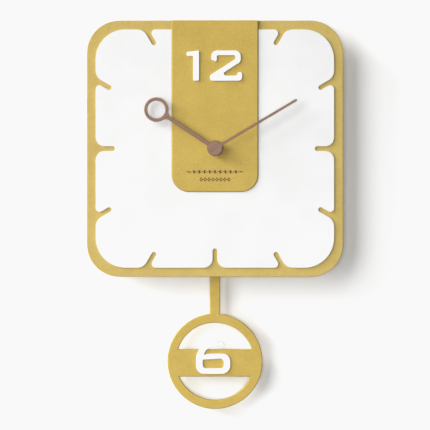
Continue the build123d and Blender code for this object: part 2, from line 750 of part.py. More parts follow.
with BuildPart() as hour_hand:
    with BuildSketch(along_hand(HOUR_HAND_BACK, HOUR_ANGLE)) as hour_outline:
        Circle(HOUR_HUB_R)
        with Locations((0, HOUR_RING_AT)):
            Circle(HOUR_RING_R)
        with Locations((0, HOUR_RING_AT / 2)):
            Rectangle(HOUR_BAR_W, HOUR_RING_AT - HOUR_BAR_W)
        roots = hour_outline.vertices().filter_by(lambda v: PIPE_R < v.Y < HOUR_RING_AT - HOUR_RING_HOLE_R)
        hub_roots, ring_roots = roots.group_by(Axis.Y)
        fillet(ring_roots, HOUR_RING_ROOT_R)
        fillet(hub_roots, HOUR_HUB_ROOT_R)
        with Locations((0, HOUR_RING_AT)):
            Circle(HOUR_RING_HOLE_R, mode=Mode.SUBTRACT)
        Circle(PIPE_R + HAND_BUSHING_WALL, mode=Mode.SUBTRACT)
    extrude(amount=HAND_T)
    chamfer(hour_hand.faces().sort_by(Axis.Y)[0].edges(), HAND_EDGE)
save(hour_hand, "hour_hand")

with BuildPart() as hour_hand_bushing:
    bushing_back = HOUR_HAND_BACK - HAND_BUSHING_LIP
    bushing_steps = [
        (bushing_back, HOUR_HAND_BACK, HOUR_BUSHING_R),
        (HOUR_HAND_BACK, HOUR_BUSHING_FRONT, PIPE_R + HAND_BUSHING_WALL),
    ]
    add(stepped_shaft(DIAL_AT, bushing_steps))
    with BuildSketch(facing_front(bushing_back)):
        Circle(PIPE_R)
    extrude(amount=HOUR_BUSHING_FRONT - bushing_back, mode=Mode.SUBTRACT)
save(hour_hand_bushing, "hour_hand_bushing")

with BuildPart() as minute_hand:
    with BuildSketch(along_hand(MINUTE_HAND_BACK, MINUTE_ANGLE)) as minute_outline:
        Circle(MINUTE_HUB_R)
        with Locations((0, (MINUTE_LENGTH - MINUTE_BAR_W / 2) / 2)):
            Rectangle(MINUTE_BAR_W, MINUTE_LENGTH - MINUTE_BAR_W / 2)
        with Locations((0, MINUTE_LENGTH - MINUTE_BAR_W / 2)):
            Circle(MINUTE_BAR_W / 2)
        hub_roots = minute_outline.vertices().filter_by(lambda v: PIPE_R < v.Y < MINUTE_LENGTH / 2)
        fillet(hub_roots, MINUTE_HUB_ROOT_R)
    extrude(amount=HAND_T)
    chamfer(minute_hand.faces().sort_by(Axis.Y)[0].edges(), HAND_EDGE)
    with BuildSketch(facing_front(MINUTE_HAND_BACK)):
        Circle(ARBOR_R + HAND_BUSHING_WALL)
    extrude(amount=HAND_T - MINUTE_SKIN, mode=Mode.SUBTRACT)
save(minute_hand, "minute_hand")

minute_blind_end = MINUTE_HAND_BACK + HAND_T - MINUTE_SKIN
with BuildPart() as minute_hand_bushing:
    bushing_back = MINUTE_HAND_BACK - HAND_BUSHING_LIP
    bushing_steps = [
        (bushing_back, MINUTE_HAND_BACK, MINUTE_BUSHING_R),
        (MINUTE_HAND_BACK, minute_blind_end, ARBOR_R + HAND_BUSHING_WALL),
    ]
    add(stepped_shaft(DIAL_AT, bushing_steps))
    with BuildSketch(facing_front(bushing_back)):
        Circle(ARBOR_R)
    extrude(amount=minute_blind_end - bushing_back, mode=Mode.SUBTRACT)
save(minute_hand_bushing, "minute_hand_bushing")

# ---- Motion work ------------------------------------------------------------------------------

# Minute arbor with its pinion; the seconds wheel's front pivot turns in its rear end
with BuildPart() as minute_arbor:
    arbor_steps = [
        (CLUTCH_HEAD_BACK, CLUTCH_HEAD_FRONT, CLUTCH_HEAD_R),
        (CLUTCH_HEAD_FRONT, MOTION_BACK, CLUTCH_SHAFT_R),
        (MOTION_BACK, minute_blind_end, ARBOR_R),
    ]
    add(stepped_shaft(DIAL_AT, arbor_steps))
    pinion_turn = gap_towards(MOTION_DIRECTION, MINUTE_PINION)
    add(toothed_disc(DIAL_AT, MOTION_BACK, MOTION_BACK + MOTION_T, MINUTE_PINION, pinion_turn))
    with BuildSketch(facing_front(CLUTCH_HEAD_BACK)):
        Circle(PIVOT_R + RUNNING_GAP)
    extrude(amount=CLUTCH_PIVOT_HOLE, mode=Mode.SUBTRACT)
save(minute_arbor, "minute_arbor")

# Friction washer that lets the hands slip when they are set
with BuildPart() as clutch_washer:
    with BuildSketch(facing_front(CLUTCH_WASHER_BACK)):
        Circle(CLUTCH_WASHER_R)
        Circle(CLUTCH_SHAFT_R, mode=Mode.SUBTRACT)
    extrude(amount=CLUTCH_WASHER_T)
save(clutch_washer, "clutch_washer")

with BuildPart() as hour_wheel:
    add(toothed_disc(DIAL_AT, HOUR_WHEEL_BACK, HOUR_WHEEL_BACK + MOTION_T, HOUR_WHEEL, MOTION_DIRECTION))
    pipe_steps = [
        (HOUR_WHEEL_BACK, HOUR_HUB_FRONT, HOUR_WHEEL_HUB_R),
        (HOUR_HUB_FRONT, HOUR_BUSHING_FRONT, PIPE_R),
    ]
    add(stepped_shaft(DIAL_AT, pipe_steps))
    with BuildSketch(facing_front(HOUR_WHEEL_BACK)):
        Circle(PIPE_BORE_R)
    extrude(amount=HOUR_BUSHING_FRONT - HOUR_WHEEL_BACK, mode=Mode.SUBTRACT)
save(hour_wheel, "hour_wheel")

with BuildPart() as motion_wheel:
    wheel_front = MOTION_BACK + MOTION_T
    add(toothed_disc(MOTION_AT, MOTION_BACK, wheel_front, MOTION_WHEEL, MOTION_DIRECTION + 180))
    pinion_turn = gap_towards(MOTION_DIRECTION + 180, MOTION_PINION)
    add(toothed_disc(MOTION_AT, MOTION_BACK, wheel_front + MOTION_PINION_T, MOTION_PINION, pinion_turn))
    add(stepped_shaft(MOTION_AT, [(MOTION_PIVOT_BACK, MOTION_PIVOT_FRONT, MOTION_PIVOT_R)]))
save(motion_wheel, "motion_wheel")

with BuildPart() as setting_knob:
    with BuildSketch(facing_front(KNOB_BACK, *KNOB_AT)):
        Circle(KNOB_R)
        with PolarLocations(KNOB_R + KNOB_FLUTE_R / 2, KNOB_FLUTES):
            Circle(KNOB_FLUTE_R, mode=Mode.SUBTRACT)
    extrude(amount=KNOB_T)
    knob_steps = [
        (KNOB_BACK + KNOB_T, MOTION_BACK, KNOB_SHAFT_R),
        (MOTION_BACK, KNOB_SHOULDER_FRONT, KNOB_SHOULDER_R),
        (KNOB_SHOULDER_FRONT, MOTION_PIVOT_FRONT, MOTION_PIVOT_R),
    ]
    add(stepped_shaft(KNOB_AT, knob_steps))
    pinion_turn = gap_towards(MOTION_DIRECTION + 180, KNOB_PINION)
    add(toothed_disc(KNOB_AT, MOTION_BACK, MOTION_BACK + MOTION_T, KNOB_PINION, pinion_turn))
    # cross grip for a fingernail or a coin
    with BuildSketch(facing_front(KNOB_BACK, *KNOB_AT)):
        Rectangle(KNOB_GRIP_L, KNOB_GRIP_W)
        Rectangle(KNOB_GRIP_W, KNOB_GRIP_L)
    extrude(amount=KNOB_GRIP_DEPTH, mode=Mode.SUBTRACT)
save(setting_knob, "setting_knob")

# ---- Going train ------------------------------------------------------------------------------

with BuildPart() as centre_wheel:
    add(toothed_disc(DIAL_AT, CENTRE_BACK, CENTRE_BACK + WHEEL_T, CENTRE_WHEEL, THIRD_DIRECTION))
    with BuildSketch(facing_front(CENTRE_BACK)):
        Circle(CLUTCH_SHAFT_R + RUNNING_GAP)
        with PolarLocations(WINDOW_AT, WINDOWS, start_angle=180 / WINDOWS):
            Circle(WINDOW_R)
    extrude(amount=WHEEL_T, mode=Mode.SUBTRACT)
save(centre_wheel, "centre_wheel")

with BuildPart() as third_wheel:
    wheel_front = THIRD_BACK + WHEEL_T
    add(toothed_disc(THIRD_AT, THIRD_BACK, wheel_front, THIRD_WHEEL, THIRD_DIRECTION + 180))
    pinion_turn = gap_towards(THIRD_DIRECTION + 180, THIRD_PINION)
    add(toothed_disc(THIRD_AT, THIRD_BACK, wheel_front + THIRD_PINION_T, THIRD_PINION, pinion_turn))
    third_pivot_back = THIRD_BEARING - BEARING_DEPTH + END_SHAKE
    add(stepped_shaft(THIRD_AT, [(third_pivot_back, PLATE_PIVOT_FRONT, PIVOT_R)]))
    add(stepped_shaft(THIRD_AT, [(THIRD_BEARING + END_SHAKE, THIRD_BACK, THIRD_SHOULDER_R)]))
save(third_wheel, "third_wheel")

with BuildPart() as seconds_wheel:
    wheel_front = SECONDS_BACK + WHEEL_T
    add(toothed_disc(DIAL_AT, SECONDS_BACK, wheel_front, SECONDS_WHEEL, INTERMEDIATE_DIRECTION))
    pinion_turn = gap_towards(THIRD_DIRECTION, SECONDS_PINION)
    add(toothed_disc(DIAL_AT, SECONDS_BACK, wheel_front + SECONDS_PINION_T, SECONDS_PINION, pinion_turn))
    seconds_pivot_back = CENTRE_BEARING - BEARING_DEPTH + END_SHAKE
    add(stepped_shaft(DIAL_AT, [(seconds_pivot_back, SECONDS_PIVOT_FRONT, PIVOT_R)]))
    add(stepped_shaft(DIAL_AT, [(CENTRE_BEARING + END_SHAKE, SECONDS_BACK, SECONDS_SHOULDER_R)]))
save(seconds_wheel, "seconds_wheel")

with BuildPart() as intermediate_wheel:
    hub_back = INTERMEDIATE_STUD + END_SHAKE
    wheel_front = INTERMEDIATE_BACK + WHEEL_T
    pinion_front = wheel_front + INTERMEDIATE_PINION_T
    wheel_turn = INTERMEDIATE_DIRECTION
    add(toothed_disc(INTERMEDIATE_AT, INTERMEDIATE_BACK, wheel_front, INTERMEDIATE_WHEEL, wheel_turn))
    pinion_turn = gap_towards(INTERMEDIATE_DIRECTION + 180, INTERMEDIATE_PINION)
    add(toothed_disc(INTERMEDIATE_AT, INTERMEDIATE_BACK, pinion_front, INTERMEDIATE_PINION, pinion_turn))
    add(stepped_shaft(INTERMEDIATE_AT, [(hub_back, INTERMEDIATE_BACK, INTERMEDIATE_HUB_R)]))
    with BuildSketch(facing_front(hub_back, *INTERMEDIATE_AT)):
        Circle(STUD_R + RUNNING_GAP)
    extrude(amount=pinion_front - hub_back, mode=Mode.SUBTRACT)
save(intermediate_wheel, "intermediate_wheel")

with BuildPart() as rotor_pinion:
    pinion_turn = gap_towards(INTERMEDIATE_DIRECTION + 180, ROTOR_PINION)
    pinion_front = ROTOR_PINION_BACK + ROTOR_PINION_T
    add(toothed_disc(ROTOR_AT, ROTOR_PINION_BACK, pinion_front, ROTOR_PINION, pinion_turn))
    rotor_steps = [
        (ROTOR_BEARING - BEARING_DEPTH + END_SHAKE, PLATE_PIVOT_FRONT, PIVOT_R),
        (ROTOR_BEARING + END_SHAKE, ROTOR_PINION_BACK, ROTOR_MAGNET_BORE_R),
        (pinion_front, PLATE_BACK - END_SHAKE, ROTOR_SHOULDER_R),
    ]
    add(stepped_shaft(ROTOR_AT, rotor_steps))
save(rotor_pinion, "rotor_pinion")

with BuildPart() as rotor_magnet:
    with BuildSketch(facing_front(ROTOR_MAGNET_BACK, *ROTOR_AT)):
        Circle(ROTOR_MAGNET_R)
        Circle(ROTOR_MAGNET_BORE_R, mode=Mode.SUBTRACT)
    extrude(amount=ROTOR_MAGNET_T)
save(rotor_magnet, "rotor_magnet")

# ---- Motor and electronics --------------------------------------------------------------------

# Stator: one lamination round the rotor, its two arms joined by the core through the coil
with BuildPart() as stator:
    rotor_x, rotor_z = ROTOR_AT
    with BuildSketch(facing_front(STATOR_BACK)):
        with Locations(ROTOR_AT):
            Circle(STATOR_R)
        with BuildLine():
            Polyline(
                (rotor_x - 2, rotor_z),
                (rotor_x + 2, rotor_z),
                (rotor_x + 2, UPPER_ARM_TOP),
                (STATOR_OUTER_X, UPPER_ARM_TOP),
                (STATOR_OUTER_X, UPPER_ARM_TOP - ARM_W),
                (rotor_x - 2, UPPER_ARM_TOP - ARM_W),
                close=True,
            )
        make_face()
        with BuildLine():
            Polyline(
                (rotor_x, LOWER_ARM_TOP - ARM_W),
                (rotor_x, LOWER_ARM_TOP),
                (STATOR_OUTER_X, LOWER_ARM_TOP),
                (STATOR_OUTER_X, LOWER_ARM_TOP - ARM_W),
                close=True,
            )
        make_face()
        with Locations((COIL_X, (COIL_LOW + COIL_HIGH) / 2)):
            Rectangle(CORE_W, COIL_HIGH - COIL_LOW + 2 * ARM_W)
        with Locations(ROTOR_AT):
            Circle(STATOR_BORE_R, mode=Mode.SUBTRACT)
    extrude(amount=STATOR_T)
save(stator, "stator")

with BuildPart() as coil_bobbin:
    coil_base = Plane(origin=(COIL_X, -CORE_DEPTH, DIAL_Z + COIL_LOW), x_dir=(1, 0, 0), z_dir=(0, 0, 1))
    with BuildSketch(coil_base):
        Circle(COIL_CORE_R)
    extrude(amount=COIL_HIGH - COIL_LOW)
    for flange_up in (0, COIL_HIGH - COIL_LOW - COIL_FLANGE_T):
        with BuildSketch(coil_base.offset(flange_up)):
            Circle(COIL_FLANGE_R)
        extrude(amount=COIL_FLANGE_T)
    with BuildSketch(coil_base):
        Rectangle(CORE_W + CORE_PLAY, STATOR_T + CORE_PLAY)
    extrude(amount=COIL_HIGH - COIL_LOW, mode=Mode.SUBTRACT)
save(coil_bobbin, "coil_bobbin")

with BuildPart() as coil_winding:
    winding_l = COIL_HIGH - COIL_LOW - 2 * COIL_FLANGE_T
    add(wound_coil(coil_base.offset(COIL_FLANGE_T), winding_l, COIL_CORE_R, COIL_R))
save(coil_winding, "coil_winding")

with BuildPart() as circuit_board:
    with BuildSketch(facing_front(CIRCUIT_BACK, *BOARD_CENTRE)):
        RectangleRounded(BOARD_W, BOARD_H, BOARD_R)
        hole_x, hole_z = BOARD_W / 2 - BOARD_HOLE_IN, BOARD_H / 2 - BOARD_HOLE_IN
        with Locations((-hole_x, hole_z), (hole_x, -hole_z)):
            Circle(BOARD_HOLE_R, mode=Mode.SUBTRACT)
    extrude(amount=CIRCUIT_T)
save(circuit_board, "circuit_board")

with BuildPart() as quartz_crystal:
    crystal_x, crystal_z = CRYSTAL_AT
    with BuildSketch(Plane(origin=(crystal_x, -CRYSTAL_DEPTH, DIAL_Z + crystal_z), z_dir=(0, 0, 1))):
        Circle(CRYSTAL_R)
    extrude(amount=CRYSTAL_L)
    fillet(quartz_crystal.edges().sort_by(Axis.Z)[-1], CRYSTAL_R / 2)
save(quartz_crystal, "quartz_crystal")

with BuildPart() as control_chip:
    with BuildSketch(facing_front(CIRCUIT_BACK + CIRCUIT_T, *CHIP_CENTRE)):
        RectangleRounded(CHIP_W, CHIP_H, CHIP_EDGE)
    extrude(amount=CHIP_T)
    chamfer(control_chip.faces().sort_by(Axis.Y)[0].edges(), CHIP_EDGE)
save(control_chip, "control_chip")

# ---- Battery ----------------------------------------------------------------------------------

with BuildPart() as battery:
    battery_end = Plane(origin=(BATTERY_FLAT_X, -BATTERY_DEPTH, DIAL_Z + BATTERY_Z), z_dir=(1, 0, 0))
    with BuildSketch(battery_end):
        Circle(BATTERY_R)
    extrude(amount=BATTERY_L - BATTERY_NUB_L)
    fillet(battery.edges().filter_by(GeomType.CIRCLE), BATTERY_EDGE_R)
    with BuildSketch(battery_end):
        Circle(BATTERY_NUB_R)
    extrude(amount=BATTERY_L)
save(battery, "battery")

battery_nub_x = BATTERY_FLAT_X + BATTERY_L
plate_x = inner_w / 2 - CONTACT_T
with BuildPart() as battery_contact_positive:
    with BuildSketch(Plane.YZ.offset(plate_x)):
        with Locations((-BATTERY_DEPTH, DIAL_Z + BATTERY_Z)):
            RectangleRounded(CONTACT_W, CONTACT_H, CONTACT_R)
    extrude(amount=CONTACT_T)
    with BuildSketch(Plane.YZ.offset(battery_nub_x)):
        with Locations((-BATTERY_DEPTH, DIAL_Z + BATTERY_Z)):
            Circle(CONTACT_PAD_R)
    extrude(amount=plate_x - battery_nub_x)
save(battery_contact_positive, "battery_contact_positive")

# Leaf spring that presses on the battery's flat end
with BuildPart() as battery_contact_negative:
    wall_x = -inner_w / 2
    leaf_x = BATTERY_FLAT_X
    with BuildSketch(Plane.XY.offset(DIAL_Z + BATTERY_Z - SPRING_W / 2)):
        with BuildLine():
            Polyline(
                (wall_x, -5.0),
                (wall_x + CONTACT_T, -5.0),
                (wall_x + CONTACT_T, -14.8),
                (leaf_x, -10.8),
                (leaf_x, -10.0),
                (leaf_x - 0.5, -10.6),
                (wall_x, -16.2),
                close=True,
            )
        make_face()
    extrude(amount=SPRING_W)
save(battery_contact_negative, "battery_contact_negative")

# ---- Pendulum and its drive -------------------------------------------------------------------

with BuildPart() as pendulum_pivot_pin:
    add(stepped_shaft(PIVOT_AT, [(PIVOT_PIN_BACK, BLIND_END, PIVOT_PIN_R)]))
save(pendulum_pivot_pin, "pendulum_pivot_pin")

# Lever: pivot eye at the top, a pad for the magnet, and a hook with an open slot at the bottom
with BuildPart() as pendulum_lever:
    with BuildSketch(facing_front(LEVER_BACK)):
        with Locations((0, (PIVOT_Z + HANG_Z) / 2)):
            Rectangle(LEVER_W, PIVOT_Z - HANG_Z)
        with Locations(PIVOT_AT):
            Circle(LEVER_EYE_R)
        with Locations(MAGNET_AT):
            Circle(LEVER_PAD_R)
        with Locations(HANG_AT):
            Circle(LEVER_FOOT_R)
    extrude(amount=LEVER_T)
    add(stepped_shaft(PIVOT_AT, [(LEVER_BOSS_BACK, LEVER_BOSS_FRONT, LEVER_BOSS_R)]))
    with BuildSketch(facing_front(LEVER_BOSS_BACK)):
        with Locations(PIVOT_AT):
            Circle(PIVOT_PIN_R + RUNNING_GAP)
        with Locations(HANG_AT):
            Circle(HANG_PIN_R + RUNNING_GAP)
        with Locations(Location((*HANG_AT, 0), (0, 0, LEVER_HOOK_TURN))):
            with Locations((0, LEVER_FOOT_R / 2)):
                Rectangle(2 * (HANG_PIN_R + RUNNING_GAP), LEVER_FOOT_R + HANG_PIN_R)
    extrude(amount=LEVER_BOSS_FRONT - LEVER_BOSS_BACK, mode=Mode.SUBTRACT)
save(pendulum_lever, "pendulum_lever")

with BuildPart() as pendulum_magnet:
    add(stepped_shaft(MAGNET_AT, [(LEVER_BACK + LEVER_T, MAGNET_FRONT, MAGNET_R)]))
    chamfer(pendulum_magnet.faces().sort_by(Axis.Y)[0].edges(), MAGNET_EDGE)
save(pendulum_magnet, "pendulum_magnet")

with BuildPart() as drive_coil_bobbin:
    bobbin_steps = [
        (DRIVE_BOBBIN_BACK, DRIVE_COIL_BACK, DRIVE_BOBBIN_R),
        (DRIVE_COIL_BACK, DRIVE_COIL_FRONT, DRIVE_COIL_CORE_R),
        (DRIVE_COIL_FRONT, CASE_FLOOR, DRIVE_BOBBIN_R),
    ]
    add(stepped_shaft(MAGNET_AT, bobbin_steps))
    with BuildSketch(facing_front(DRIVE_BOBBIN_BACK, *MAGNET_AT)):
        Circle(DRIVE_BOBBIN_BORE_R)
    extrude(amount=CASE_FLOOR - DRIVE_BOBBIN_BACK, mode=Mode.SUBTRACT)
save(drive_coil_bobbin, "drive_coil_bobbin")

with BuildPart() as drive_coil_winding:
    winding_l = DRIVE_COIL_FRONT - DRIVE_COIL_BACK
    add(wound_coil(facing_front(DRIVE_COIL_BACK, *MAGNET_AT), winding_l, DRIVE_COIL_CORE_R, DRIVE_COIL_R))
save(drive_coil_winding, "drive_coil_winding")

# Pin on the back of the rod, which drops into the lever's hook
with BuildPart() as pendulum_hanger_pin:
    head_front = HANG_PIN_BACK + HANG_PIN_HEAD_T
    pin_front = PENDULUM_BACK + HANG_PIN_DEPTH
    add(stepped_shaft(HANG_AT, [(HANG_PIN_BACK, head_front, HANG_PIN_HEAD_R)]))
    add(stepped_shaft(HANG_AT, [(head_front, pin_front, HANG_PIN_R)]))
save(pendulum_hanger_pin, "pendulum_hanger_pin")

# Rod, ring and crossbar
with BuildPart() as pendulum_ring:
    with BuildSketch(facing_front(PENDULUM_BACK)) as pendulum_outline:
        with Locations((0, RING_Z)):
            Circle(RING_R)
        rod_l = ROD_TOP - RING_Z
        with Locations((0, RING_Z + rod_l / 2)):
            Rectangle(ROD_W, rod_l)
        with Locations((0, RING_Z)):
            Circle(RING_R - RING_BAND, mode=Mode.SUBTRACT)
        bar_reach = CROSSBAR_H / 2 + RING_Z - CROSSBAR_Z
        bar_half = sqrt((RING_R - RING_BAND / 2) ** 2 - bar_reach ** 2)
        with Locations((0, CROSSBAR_Z)):
            Rectangle(2 * bar_half, CROSSBAR_H)
    extrude(amount=PENDULUM_FRONT - PENDULUM_BACK)
    chamfer(pendulum_ring.faces().sort_by(Axis.Y)[0].edges(), ROUNDED_EDGE)
    with BuildSketch(facing_front(PENDULUM_BACK, 0, HANG_Z)):
        Circle(HANG_PIN_R)
    extrude(amount=HANG_PIN_DEPTH, mode=Mode.SUBTRACT)
save(pendulum_ring, "pendulum_ring")

# Numeral six: its arm stands clear above the crossbar
six_points = [
    (0, 0), (40.1, 0), (40.1, 24.0), (16.0, 23.7), (8.8, 22.4),
    (13.0, 31.4), (34.0, 32.4), (31.2, 37.4), (0, 36.8),
]
six_radii = [9.5, 10.0, 9.0, 12.0, 0.5, 12.0, 0.8, 2.5, 20.0]
counter_points = [(7.8, 6.5), (32.6, 6.5), (32.6, 18.2), (7.8, 16.7)]
counter_radii = [4.0, 4.2, 4.6, 0.6]
with BuildPart() as numeral_six:
    six_outline = rounded_outline(six_points, six_radii)
    six_counter = rounded_outline(counter_points, counter_radii)
    add(raised_numeral(PENDULUM_FRONT, SIX_CORNER, six_outline, six_counter))
save(numeral_six, "numeral_six")
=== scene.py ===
from math import cos, pi, radians, sin, tan

import bmesh
import bpy
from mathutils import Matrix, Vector


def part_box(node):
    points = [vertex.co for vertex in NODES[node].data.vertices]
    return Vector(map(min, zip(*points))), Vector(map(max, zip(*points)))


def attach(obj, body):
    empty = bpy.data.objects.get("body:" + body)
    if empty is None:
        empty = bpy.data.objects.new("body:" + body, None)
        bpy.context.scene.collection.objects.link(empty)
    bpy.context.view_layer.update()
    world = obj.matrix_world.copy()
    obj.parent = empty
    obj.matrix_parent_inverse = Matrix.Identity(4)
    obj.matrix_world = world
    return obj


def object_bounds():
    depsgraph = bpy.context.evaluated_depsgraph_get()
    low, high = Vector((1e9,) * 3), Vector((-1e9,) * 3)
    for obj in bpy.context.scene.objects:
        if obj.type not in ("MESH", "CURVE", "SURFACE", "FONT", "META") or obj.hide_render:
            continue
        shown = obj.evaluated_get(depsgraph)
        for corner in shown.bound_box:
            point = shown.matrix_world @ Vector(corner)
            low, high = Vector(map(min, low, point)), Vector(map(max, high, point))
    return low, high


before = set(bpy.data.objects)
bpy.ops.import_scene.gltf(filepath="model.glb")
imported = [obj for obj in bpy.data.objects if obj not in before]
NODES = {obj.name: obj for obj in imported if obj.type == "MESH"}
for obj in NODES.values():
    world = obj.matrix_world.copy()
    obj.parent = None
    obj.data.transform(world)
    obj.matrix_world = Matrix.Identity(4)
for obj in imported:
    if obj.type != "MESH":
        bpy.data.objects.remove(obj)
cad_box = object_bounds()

MM = 0.001

# Angles of the hands, clockwise from twelve, for the direction of their grain
HOUR_ANGLE = radians(-56.5)
MINUTE_ANGLE = radians(59.3)

# ---- Shader building --------------------------------------------------------------------------


class Paint:
    """A procedural material under construction, with places in metres in the clock's frame."""

    def __init__(self, name, **shader):
        self.material = bpy.data.materials.new(name)
        self.material.use_nodes = True
        self.tree = self.material.node_tree
        self.shader = self.tree.nodes["Principled BSDF"]
        self.place = self.add("ShaderNodeTexCoord").outputs["Object"]
        self.normal = self.add("ShaderNodeTexCoord").outputs["Normal"]
        for socket, value in shader.items():
            self.shader.inputs[socket.replace("_", " ")].default_value = value

    def add(self, kind, inputs=None, **settings):
        """A new shader node with its settings made and its inputs fed."""
        node = self.tree.nodes.new(kind)
        for name, value in settings.items():
            setattr(node, name, value)
        for socket, value in (inputs or {}).items():
            self.feed(node.inputs[socket], value)
        return node

    def feed(self, socket, value):
        """Links a socket to another node's output, or sets it to a plain value or colour."""
        if isinstance(value, bpy.types.NodeSocket):
            self.tree.links.new(value, socket)
        elif isinstance(value, tuple) and len(value) == 3 and socket.type == "RGBA":
            socket.default_value = (*value, 1.0)
        else:
            socket.default_value = value

    def math(self, operation, a, b=0.0):
        return self.add("ShaderNodeMath", {0: a, 1: b}, operation=operation).outputs[0]

    def stretched(self, scale, turn=(0.0, 0.0, 0.0), place=None):
        """The place turned by angles and then scaled by axis."""
        turned = self.add("ShaderNodeMapping", {"Vector": place or self.place, "Rotation": turn})
        node = self.add("ShaderNodeMapping", {"Vector": turned.outputs[0], "Scale": scale})
        return node.outputs[0]

    def noise(self, size, detail=2.0, roughness=0.5, place=None):
        """Noise from 0 to 1 whose blotches are about size metres across."""
        inputs = {"Vector": place or self.place, "Scale": 1.0 / size}
        inputs |= {"Detail": detail, "Roughness": roughness}
        return self.add("ShaderNodeTexNoise", inputs).outputs["Fac"]

    def spread(self, value, low, high, out_low=0.0, out_high=1.0):
        """Maps low..high to out_low..out_high, held at the ends."""
        inputs = {"Value": value, "From Min": low, "From Max": high, "To Min": out_low, "To Max": out_high}
        return self.add("ShaderNodeMapRange", inputs).outputs[0]

    def mix(self, factor, a, b):
        """Colour a where the factor is 0, colour b where it is 1."""
        return self.add("ShaderNodeMix", {0: factor, 6: a, 7: b}, data_type="RGBA").outputs[2]

    def part(self, vector, axis):
        """One component of a vector: 0, 1 or 2 for X, Y or Z."""
        return self.add("ShaderNodeSeparateXYZ", {0: vector}).outputs[axis]

    def cut_edge(self):
        """1 on the faces cut through a board's thickness, 0 on its front and back."""
        across = self.math("ABSOLUTE", self.part(self.normal, 1))
        return self.spread(across, 0.25, 0.6, 1.0, 0.0)

    def bump(self, height, depth, previous=None):
        """Raises the surface by height (0 to 1) times depth in metres."""
        inputs = {"Height": height, "Distance": depth, "Strength": 1.0}
        if previous:
            inputs["Normal"] = previous
        return self.add("ShaderNodeBump", inputs).outputs[0]

    def finish(self, colour, roughness, bump=None):
        """Feeds the shader and gives the finished material."""
        self.feed(self.shader.inputs["Base Color"], colour)
        self.feed(self.shader.inputs["Roughness"], roughness)
        if bump is not None:
            self.feed(self.shader.inputs["Normal"], bump)
        return self.material


# ---- Materials --------------------------------------------------------------------------------


def gold_paint(name, light, dark, edge):
    """Satin gold paint on fibreboard: a felted mottle on the faces and fine layers on the cut edges."""
    paint = Paint(name, Specular_IOR_Level=0.32)
    felt = paint.noise(2.4 * MM, 5.0, 0.68)
    cloud = paint.noise(22 * MM, 3.0)
    flake = paint.noise(0.28 * MM, 1.0)
    tone = paint.math("ADD", paint.math("MULTIPLY", felt, 0.65), paint.math("MULTIPLY", cloud, 0.35))
    face = paint.mix(paint.spread(tone, 0.34, 0.66), dark, light)
    sparkle = tuple(min(1.0, c * 1.18) for c in light)
    face = paint.mix(paint.spread(flake, 0.62, 0.74, 0.0, 0.45), face, sparkle)
    layers = paint.noise(0.5 * MM, 3.0, 0.6, paint.stretched((0.35, 1.6, 0.35)))
    cut = paint.mix(paint.spread(layers, 0.3, 0.7), edge, dark)
    on_edge = paint.cut_edge()
    colour = paint.mix(on_edge, face, cut)
    roughness = paint.spread(felt, 0.3, 0.7, 0.50, 0.64)
    relief = paint.bump(felt, 0.035 * MM, paint.bump(layers, 0.05 * MM))
    return paint.finish(colour, roughness, relief)


def white_lacquer(name, shade, light):
    """Matte white lacquer: faint orange peel, a trace of warmth in the cut edges."""
    paint = Paint(name, Specular_IOR_Level=0.35)
    peel = paint.noise(0.9 * MM, 3.0, 0.55)
    cloud = paint.noise(45 * MM, 2.0)
    face = paint.mix(paint.spread(cloud, 0.35, 0.65), shade, light)
    fibre = paint.noise(0.4 * MM, 3.0, 0.6, paint.stretched((0.4, 1.5, 0.4)))
    cut = paint.mix(paint.spread(fibre, 0.3, 0.7), (0.66, 0.65, 0.63), (0.72, 0.716, 0.708))
    colour = paint.mix(paint.cut_edge(), face, cut)
    roughness = paint.spread(peel, 0.3, 0.7, 0.42, 0.52)
    return paint.finish(colour, roughness, paint.bump(peel, 0.012 * MM))


def walnut(name, grain_angle):
    """Oiled walnut whose grain runs along a hand at that clock angle."""
    paint = Paint(name, Specular_IOR_Level=0.4)
    along = paint.stretched((1.0, 1.0, 1.0), (0.0, -grain_angle, 0.0))
    figure = paint.noise(1.0, 3.0, 0.55, paint.stretched((520.0, 520.0, 22.0), place=along))
    bands = paint.noise(1.0, 2.0, 0.5, paint.stretched((170.0, 170.0, 6.0), place=along))
    pores = paint.noise(1.0, 1.0, 0.5, paint.stretched((2600.0, 2600.0, 170.0), place=along))
    tone = paint.math("ADD", paint.math("MULTIPLY", figure, 0.6), paint.math("MULTIPLY", bands, 0.4))
    heart = (0.162, 0.080, 0.045)
    sap = (0.240, 0.135, 0.082)
    colour = paint.mix(paint.spread(tone, 0.36, 0.64), heart, sap)
    pore = paint.spread(pores, 0.60, 0.70)
    colour = paint.mix(paint.math("MULTIPLY", pore, 0.55), colour, (0.063, 0.031, 0.019))
    roughness = paint.spread(figure, 0.3, 0.7, 0.42, 0.56)
    relief = paint.bump(paint.math("SUBTRACT", figure, pore), 0.02 * MM)
    return paint.finish(colour, roughness, relief)


def moulded_plastic(name, base, light, roughness=0.5, texture=0.35):
    """Moulded plastic with a spark-eroded texture and a faint cloud of lighter tone at random."""
    paint = Paint(name, Specular_IOR_Level=0.45)
    grain = paint.noise(texture * MM, 2.0, 0.6)
    cloud = paint.noise(9 * MM, 3.0)
    colour = paint.mix(paint.spread(cloud, 0.3, 0.7), base, light)
    rough = paint.spread(grain, 0.3, 0.7, roughness - 0.07, roughness + 0.08)
    return paint.finish(colour, rough, paint.bump(grain, 0.02 * MM))


